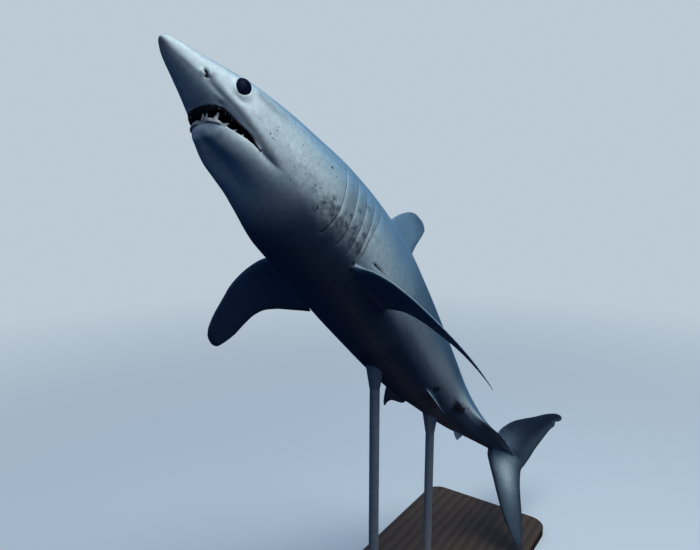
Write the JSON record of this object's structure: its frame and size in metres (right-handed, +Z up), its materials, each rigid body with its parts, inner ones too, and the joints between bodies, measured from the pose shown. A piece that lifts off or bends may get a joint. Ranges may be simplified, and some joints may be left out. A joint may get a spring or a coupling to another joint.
{
  "type": "shortfin mako shark model",
  "caption": "Still, life-size shortfin mako shark swimming nose-up with its mouth ajar, held on slim rods above a flat display base.",
  "frame": {"origin": "on the floor, under the middle of the whole model's box", "axes": "+Z up; the snout points to -Y and upwards, the tail to +Y, and the shark's left side faces +X"},
  "size_m": [0.7668, 1.7168, 1.6189],
  "materials": {
    "skin": "wet, finely rough skin: dark blue-grey back, silver-grey flank, white belly",
    "eye": "polished black with a faint blue rim",
    "teeth": "glossy ivory white",
    "mouth": "wet, pale greyish pink",
    "stand_plate": "board with matt pale grey paint",
    "stand_rod": "satin, brushed along the rod"
  },
  "bodies": {
    "root": {"head": "skin", "lower_jaw": "skin", "trunk": "skin", "tail_stock": "skin", "dorsal_fin_first": "skin", "dorsal_fin_second": "skin", "anal_fin": "skin", "caudal_fin_upper": "skin", "caudal_fin_lower": "skin", "pectoral_fin_left": "skin", "pectoral_fin_right": "skin", "pelvic_fin_left": "skin", "pelvic_fin_right": "skin", "eye_left": "eye", "eye_right": "eye", "stand_base": "stand_plate", "stand_rod_front": "stand_rod", "stand_rod_rear": "stand_rod"}
  },
  "joints": []
}
